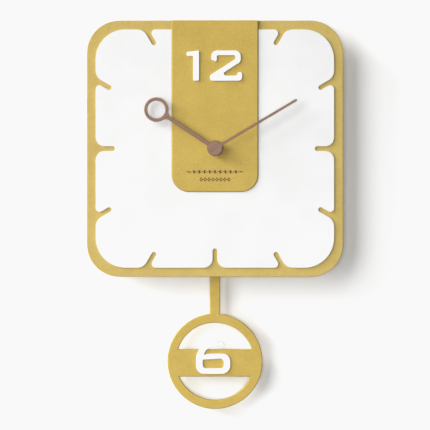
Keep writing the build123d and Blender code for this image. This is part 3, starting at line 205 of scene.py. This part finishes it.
def turned_metal(name, base, dark, roughness, axis_place):
    """Turned or plated metal with fine rings about the Y axis through a place."""
    paint = Paint(name, Metallic=1.0)
    moved = paint.add("ShaderNodeVectorMath", {0: paint.place, 1: axis_place}, operation="SUBTRACT")
    offset = moved.outputs[0]
    x = paint.part(offset, 0)
    z = paint.part(offset, 2)
    squared = paint.math("ADD", paint.math("MULTIPLY", x, x), paint.math("MULTIPLY", z, z))
    radius = paint.math("SQRT", squared)
    ring_place = paint.add("ShaderNodeCombineXYZ", {0: radius, 1: paint.part(offset, 1), 2: 0.0}).outputs[0]
    rings = paint.noise(0.18 * MM, 2.0, 0.6, ring_place)
    stain = paint.noise(4 * MM, 3.0)
    colour = paint.mix(paint.spread(stain, 0.35, 0.7), dark, base)
    rough = paint.spread(rings, 0.3, 0.7, roughness - 0.06, roughness + 0.10)
    return paint.finish(colour, rough, paint.bump(rings, 0.01 * MM))


WIRE_PITCH = 0.22 * MM


def wound_wire(name, along):
    """Enamelled copper wire, wound in close turns along an axis."""
    paint = Paint(name, Metallic=0.85)
    phase = paint.math("MULTIPLY", paint.part(paint.place, along), 2 * pi / WIRE_PITCH)
    turns = paint.math("SINE", phase)
    uneven = paint.noise(1.5 * MM, 2.0)
    # Painted shade: the wire is painted dark in the grooves between its turns, where shade falls, and bare
    # copper on their crests
    colour = paint.mix(paint.spread(turns, -1.0, 0.6), (0.20, 0.055, 0.02), (0.62, 0.24, 0.10))
    colour = paint.mix(paint.spread(uneven, 0.3, 0.7, 0.0, 0.3), colour, (0.35, 0.12, 0.05))
    return paint.finish(colour, paint.spread(uneven, 0.3, 0.7, 0.24, 0.38), paint.bump(turns, 0.05 * MM))


BAND_JOIN = 0.62  # where the bands meet, as a share of the battery's length
BAND_BLUR = 0.01  # width of the join, as a share of it too


def battery_sleeve(name, low_x, high_x):
    """A plain printed sleeve: a pale band next to a green one, bare metal at both ends."""
    paint = Paint(name, Specular_IOR_Level=0.5)
    x = paint.part(paint.place, 0)
    join = low_x + BAND_JOIN * (high_x - low_x)
    band = paint.spread(x, join, join + BAND_BLUR * (high_x - low_x))
    scuff = paint.noise(2.5 * MM, 4.0, 0.65)
    printed = paint.mix(band, (0.045, 0.19, 0.13), (0.62, 0.64, 0.62))
    printed = paint.mix(paint.spread(scuff, 0.66, 0.75, 0.0, 0.35), printed, (0.5, 0.5, 0.5))
    ends = paint.math("ABSOLUTE", paint.part(paint.normal, 0))
    bare = paint.spread(ends, 0.4, 0.6)
    paint.feed(paint.shader.inputs["Metallic"], bare)
    colour = paint.mix(bare, printed, (0.62, 0.62, 0.60))
    return paint.finish(colour, paint.spread(scuff, 0.3, 0.7, 0.25, 0.4), paint.bump(scuff, 0.006 * MM))


TRACK_PITCH = 2.6 * MM


def solder_mask(name):
    """Circuit board: copper tracks under green mask."""
    paint = Paint(name, Specular_IOR_Level=0.5)
    inputs = {"Vector": paint.place, "Scale": 1 / TRACK_PITCH}
    cells = paint.add("ShaderNodeTexVoronoi", inputs, distance="CHEBYCHEV", feature="DISTANCE_TO_EDGE")
    track = paint.spread(cells.outputs["Distance"], 0.06, 0.09, 1.0, 0.0)
    weave = paint.noise(0.6 * MM, 2.0)
    colour = paint.mix(track, (0.012, 0.085, 0.035), (0.03, 0.17, 0.07))
    return paint.finish(colour, paint.spread(weave, 0.3, 0.7, 0.3, 0.42), paint.bump(track, 0.03 * MM))


def printing_ink(name):
    """Dark red-brown ink, slightly uneven."""
    paint = Paint(name, Specular_IOR_Level=0.3)
    patch = paint.noise(0.5 * MM, 3.0)
    colour = paint.mix(paint.spread(patch, 0.3, 0.7), (0.056, 0.015, 0.012), (0.095, 0.030, 0.022))
    return paint.finish(colour, paint.spread(patch, 0.3, 0.7, 0.55, 0.7), paint.bump(patch, 0.01 * MM))


def dress(material, *names):
    """Gives CAD nodes a material."""
    for name in names:
        node = NODES[name]
        node.data.materials.clear()
        node.data.materials.append(material)


hub = (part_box("mounting_nut")[0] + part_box("mounting_nut")[1]) / 2

GOLD_EDGE = (0.25, 0.165, 0.05)
board_gold = gold_paint("board_gold", (0.512, 0.378, 0.102), (0.416, 0.300, 0.072), GOLD_EDGE)
dress(board_gold, "face_board")
panel_gold = gold_paint("panel_gold", (0.505, 0.355, 0.073), (0.400, 0.277, 0.044), GOLD_EDGE)
dress(panel_gold, "centre_panel", "pendulum_ring")
dial_white = white_lacquer("dial_white", (0.680, 0.680, 0.676), (0.712, 0.712, 0.710))
dress(dial_white, "dial_plate")
numeral_white = white_lacquer("numeral_white", (0.765, 0.765, 0.762), (0.795, 0.795, 0.793))
dress(numeral_white, "numeral_one", "numeral_two", "numeral_six")
dress(walnut("walnut_hour", HOUR_ANGLE), "hour_hand")
dress(walnut("walnut_minute", MINUTE_ANGLE), "minute_hand")
dress(moulded_plastic("case_black", (0.012, 0.012, 0.013), (0.022, 0.022, 0.023)), "movement_case")
cover_black = moulded_plastic("cover_black", (0.016, 0.016, 0.017), (0.030, 0.030, 0.031), 0.56, 0.28)
dress(cover_black, "movement_back_cover")
dress(moulded_plastic("knob_white", (0.62, 0.62, 0.60), (0.72, 0.72, 0.70), 0.4), "setting_knob")
gear_white = moulded_plastic("gear_plastic", (0.66, 0.64, 0.57), (0.78, 0.77, 0.71), 0.34, 0.6)
dress(gear_white, "hour_wheel", "motion_wheel", "centre_wheel", "third_wheel", "seconds_wheel")
dress(gear_white, "intermediate_wheel", "rotor_pinion")
bobbin = moulded_plastic("bobbin_plastic", (0.55, 0.55, 0.53), (0.66, 0.66, 0.64), 0.45, 0.5)
dress(bobbin, "movement_plate", "coil_bobbin", "drive_coil_bobbin", "pendulum_lever")
brass = turned_metal("turned_brass", (0.78, 0.56, 0.22), (0.55, 0.36, 0.13), 0.28, tuple(hub))
dress(brass, "threaded_post", "mounting_nut", "mounting_washer", "minute_arbor", "clutch_washer")
dress(brass, "hour_hand_bushing", "minute_hand_bushing")
steel = turned_metal("plated_steel", (0.62, 0.61, 0.59), (0.42, 0.41, 0.40), 0.3, (0.0, 0.0, 0.0))
dress(steel, "cover_screws", "plate_screws", "pendulum_pivot_pin", "pendulum_hanger_pin", "stator")
dress(steel, "quartz_crystal", "battery_contact_positive", "battery_contact_negative")
rubber = moulded_plastic("rubber_black", (0.010, 0.010, 0.010), (0.018, 0.018, 0.018), 0.8, 0.5)
dress(rubber, "rubber_gasket")
dress(wound_wire("coil_wire", 2), "coil_winding")
dress(wound_wire("drive_wire", 1), "drive_coil_winding")
ferrite = moulded_plastic("sintered_magnet", (0.05, 0.05, 0.055), (0.10, 0.10, 0.105), 0.4, 0.2)
dress(ferrite, "rotor_magnet", "pendulum_magnet")
dress(solder_mask("solder_mask"), "circuit_board")
epoxy = moulded_plastic("chip_epoxy", (0.008, 0.008, 0.008), (0.016, 0.016, 0.016), 0.6, 0.15)
dress(epoxy, "control_chip")
battery_low, battery_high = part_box("battery")
dress(battery_sleeve("battery_sleeve", battery_low.x, battery_high.x), "battery")

# ---- Printed ornament on the panel ------------------------------------------------------------

INK_T = 0.06 * MM
SCROLL_DROP = 27.2 * MM
SCROLL_HALF = 33.5 * MM
SCROLL_WAVES = 11
SCROLL_RISE = 1.6 * MM
SCROLL_SLANT = 1.15
SCROLL_THIN = 0.60 * MM
SCROLL_THICK = 1.70 * MM
SCROLL_STEPS = 30  # for each wave
SCROLL_TAPER = 8  # the wave grows and fades over an eighth of its length
DIAMOND_DROP = 36.2 * MM
DIAMOND_COUNT = 8
DIAMOND_STEP = 4.6 * MM
DIAMOND_HALF_W = 2.1 * MM
DIAMOND_HALF_H = 2.7 * MM
DIAMOND_STROKE = 1.15 * MM


def add_ribbon(mesh, left, right, depth, closed=False):
    """A thin ribbon between two lines of (x, z) points, lying on a face that looks along -Y."""
    lines = [(line, y) for y in (depth - INK_T, depth) for line in (left, right)]
    corners = [[mesh.verts.new((x, y, z)) for x, z in line] for line, y in lines]
    front_left, front_right, back_left, back_right = corners
    count = len(left)
    for i in range(count if closed else count - 1):
        j = (i + 1) % count
        mesh.faces.new((front_left[i], front_left[j], front_right[j], front_right[i]))
        mesh.faces.new((back_left[i], back_right[i], back_right[j], back_left[j]))
        mesh.faces.new((front_left[i], back_left[i], back_left[j], front_left[j]))
        mesh.faces.new((front_right[i], front_right[j], back_right[j], back_right[i]))
    if not closed:
        for i in (0, count - 1):
            mesh.faces.new((front_left[i], front_right[i], back_right[i], back_left[i]))


def scroll_edges(z):
    """The two edges of a slanted pen wave, thick where the pen goes down and tapered at its ends."""
    left, right = [], []
    steps = SCROLL_WAVES * SCROLL_STEPS
    turns = 2 * pi * SCROLL_WAVES
    for step in range(steps + 1):
        along = step / steps
        rise = SCROLL_RISE * min(1.0, SCROLL_TAPER * along, SCROLL_TAPER * (1 - along))
        up = rise * sin(turns * along)
        pace = rise * cos(turns * along) * turns
        travel = Vector((2 * SCROLL_HALF + SCROLL_SLANT * pace, pace)).normalized()
        pressure = max(0.0, -cos(turns * along))
        offset = (SCROLL_THIN + (SCROLL_THICK - SCROLL_THIN) * pressure) / 2
        x = SCROLL_HALF * (2 * along - 1) + SCROLL_SLANT * up
        left.append((x - offset * travel.y, z + up + offset * travel.x))
        right.append((x + offset * travel.y, z + up - offset * travel.x))
    return left, right


def diamond_edges(x, z):
    """The outer and inner corners of an open diamond."""
    corners = []
    for inset in (0.0, DIAMOND_STROKE):
        half_w, half_h = DIAMOND_HALF_W - inset, DIAMOND_HALF_H - inset
        corners.append([(x - half_w, z), (x, z - half_h), (x + half_w, z), (x, z + half_h)])
    return corners


def printed_ornament():
    """A pen wave over a row of diamonds, printed on the panel under the hands."""
    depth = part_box("centre_panel")[0].y
    mesh = bmesh.new()
    add_ribbon(mesh, *scroll_edges(hub.z - SCROLL_DROP), depth)
    for i in range(DIAMOND_COUNT):
        x = (i - (DIAMOND_COUNT - 1) / 2) * DIAMOND_STEP
        add_ribbon(mesh, *diamond_edges(x, hub.z - DIAMOND_DROP), depth, closed=True)
    bmesh.ops.recalc_face_normals(mesh, faces=mesh.faces)
    data = bpy.data.meshes.new("panel_ornament")
    mesh.to_mesh(data)
    mesh.free()
    piece = bpy.data.objects.new("panel_ornament", data)
    bpy.context.collection.objects.link(piece)
    return piece


ornament = printed_ornament()
ornament.data.materials.append(printing_ink("printing_ink"))
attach(ornament, "clock")

# ---- Stage ------------------------------------------------------------------------------------

WALL_GAP = 0.4 * MM
WALL_HALF_W = 3
WALL_TOP = 2
FLOOR_Z = -1.15
FLOOR_HALF = 12


def stage_plane(name, corners, material):
    """A flat four-cornered sheet of the stage, which is not part of the clock."""
    data = bpy.data.meshes.new(name)
    data.from_pydata(corners, [], [(0, 1, 2, 3)])
    data.materials.append(material)
    plane = bpy.data.objects.new(name, data)
    bpy.context.collection.objects.link(plane)
    return plane


def wall_paint():
    """White paint on the front of the wall. From behind the wall is open, to show the clock's back."""
    paint = Paint("wall_paint", Specular_IOR_Level=0.2)
    stipple = paint.noise(2.2 * MM, 3.0)
    cloud = paint.noise(0.25, 2.0)
    colour = paint.mix(cloud, (0.895, 0.895, 0.895), (0.905, 0.905, 0.905))
    paint.finish(colour, 0.9, paint.bump(stipple, 0.05 * MM))
    facing = paint.add("ShaderNodeNewGeometry").outputs["Backfacing"]
    clear = paint.add("ShaderNodeBsdfTransparent")
    output = paint.tree.nodes["Material Output"]
    mixed = paint.add("ShaderNodeMixShader", {0: facing, 1: paint.shader.outputs[0], 2: clear.outputs[0]})
    paint.feed(output.inputs["Surface"], mixed.outputs[0])
    return paint.material


def floor_paint():
    """Pale matte floor, in the picture only when the camera looks down."""
    paint = Paint("floor_paint", Specular_IOR_Level=0.2)
    cloud = paint.noise(0.4, 2.0)
    colour = paint.mix(cloud, (0.78, 0.78, 0.775), (0.82, 0.82, 0.815))
    return paint.finish(colour, 0.8)


wall_low = [(x, WALL_GAP, FLOOR_Z) for x in (-WALL_HALF_W, WALL_HALF_W)]
wall_high = [(x, WALL_GAP, WALL_TOP) for x in (WALL_HALF_W, -WALL_HALF_W)]
wall = stage_plane("wall", wall_low + wall_high, wall_paint())
wall.visible_shadow = False  # so that the light behind the wall reaches the clock's back
wall.visible_glossy = False
floor_signs = ((-1, -1), (1, -1), (1, 1), (-1, 1))
floor_corners = [(x * FLOOR_HALF, y * FLOOR_HALF, FLOOR_Z) for x, y in floor_signs]
ground = stage_plane("floor", floor_corners, floor_paint())
ground.visible_shadow = False
ground.visible_diffuse = False

# ---- Light and camera -------------------------------------------------------------------------

SKY = 0.03  # strength of the sky's light
SKY_SEEN = 0.7  # strength of the sky where the camera sees it
WASH = 2.4  # strength of the light on the floor
WASH_ANGLE = radians(40)
BEAM = radians(100)  # spread of every soft box


def soft_light(name, left, up, half_width, half_height, radiance, distance, aim=(0.0, 0.0)):
    """A rectangular soft box, placed by two angles seen from the clock, with its half sizes as angles.

    Angles are in degrees. It is feathered: its beam passes the clock's centre by aim metres, right and up.
    """
    left, up = radians(left), radians(up)
    direction = Vector((-sin(left) * cos(up), -cos(left) * cos(up), sin(up)))
    light = bpy.data.lights.new(name, "AREA")
    light.shape = "RECTANGLE"
    light.size = 2 * distance * tan(radians(half_width))
    light.size_y = 2 * distance * tan(radians(half_height))
    light.energy = radiance * pi * light.size * light.size_y
    light.spread = BEAM
    lamp = bpy.data.objects.new(name, light)
    centre = (cad_box[0] + cad_box[1]) / 2
    lamp.location = centre + direction * distance
    towards = lamp.location - (centre + Vector((aim[0], 0.0, aim[1])))
    lamp.rotation_euler = towards.to_track_quat("Z", "Y").to_euler()
    lamp.visible_camera = False
    bpy.context.collection.objects.link(lamp)


soft_light(
    "window", left=42.5, up=4.0, half_width=15.0, half_height=33.0,
    radiance=2.0, distance=6.0, aim=(0.8, -2.2),
)
soft_light(
    "front_box", left=1.0, up=-3.0, half_width=11.0, half_height=8.0,
    radiance=5.35, distance=4.0, aim=(0.0, -1.4),
)
soft_light("side_strip", left=72.0, up=25.0, half_width=8.0, half_height=8.0, radiance=9.0, distance=12.0)
soft_light("back_box", left=206.0, up=28.0, half_width=20.0, half_height=20.0, radiance=0.5, distance=4.0)


def studio_world():
    """A dim even sky for the light, which looks pale where the camera sees it past the stage."""
    world = bpy.data.worlds.new("studio")
    world.use_nodes = True
    tree = world.node_tree
    background = tree.nodes["Background"]
    background.inputs["Color"].default_value = (1.0, 1.0, 1.0, 1.0)
    strength = tree.nodes.new("ShaderNodeMix")
    strength.inputs["A"].default_value = SKY
    strength.inputs["B"].default_value = SKY_SEEN
    seen = tree.nodes.new("ShaderNodeLightPath").outputs["Is Camera Ray"]
    tree.links.new(seen, strength.inputs["Factor"])
    tree.links.new(strength.outputs["Result"], background.inputs["Strength"])
    return world


def floor_wash():
    """An even light from above that reaches the floor alone."""
    light = bpy.data.lights.new("floor_wash", "SUN")
    light.energy = WASH
    light.angle = WASH_ANGLE
    lamp = bpy.data.objects.new("floor_wash", light)
    bpy.context.collection.objects.link(lamp)
    floor_only = bpy.data.collections.new("floor_only")
    floor_only.objects.link(ground)
    lamp.light_linking.receiver_collection = floor_only


bpy.context.scene.world = studio_world()
floor_wash()

CAMERA_DISTANCE = 2.4
CAMERA_DROP = 77.7 * MM  # below the hands' axis
FRAME_W = 503.6 * MM  # width of the picture at the front of the board
SENSOR = 36.0

camera_data = bpy.data.cameras.new("camera")
camera_data.sensor_width = SENSOR
camera_data.lens = SENSOR * (CAMERA_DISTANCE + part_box("face_board")[0].y) / FRAME_W
camera = bpy.data.objects.new("camera", camera_data)
camera.location = (0.0, -CAMERA_DISTANCE, hub.z - CAMERA_DROP)
camera.rotation_euler = (radians(90), 0.0, 0.0)
bpy.context.collection.objects.link(camera)
bpy.context.scene.camera = camera

# Exposed so that the bare wall just reaches paper white, where the response flattens
BRIGHTEST = 3.0
PAPER_WHITE = 0.95
SHOULDER_LEVELS = (0.9, 0.955)
SHOULDER_TOP = 0.945

view = bpy.context.scene.view_settings
view.view_transform = "Standard"
view.use_curve_mapping = True
response = view.curve_mapping
response.clip_max_x = BRIGHTEST
response.clip_max_y = 1.0
shoulder = response.curves[3]  # the curve of all three colours together
shoulder.points[0].location = (0.0, 0.0)
shoulder.points[1].location = (BRIGHTEST, PAPER_WHITE)
for level in SHOULDER_LEVELS:
    shoulder.points.new(level, min(level, SHOULDER_TOP))
for point in shoulder.points:
    point.handle_type = "VECTOR"
response.update()
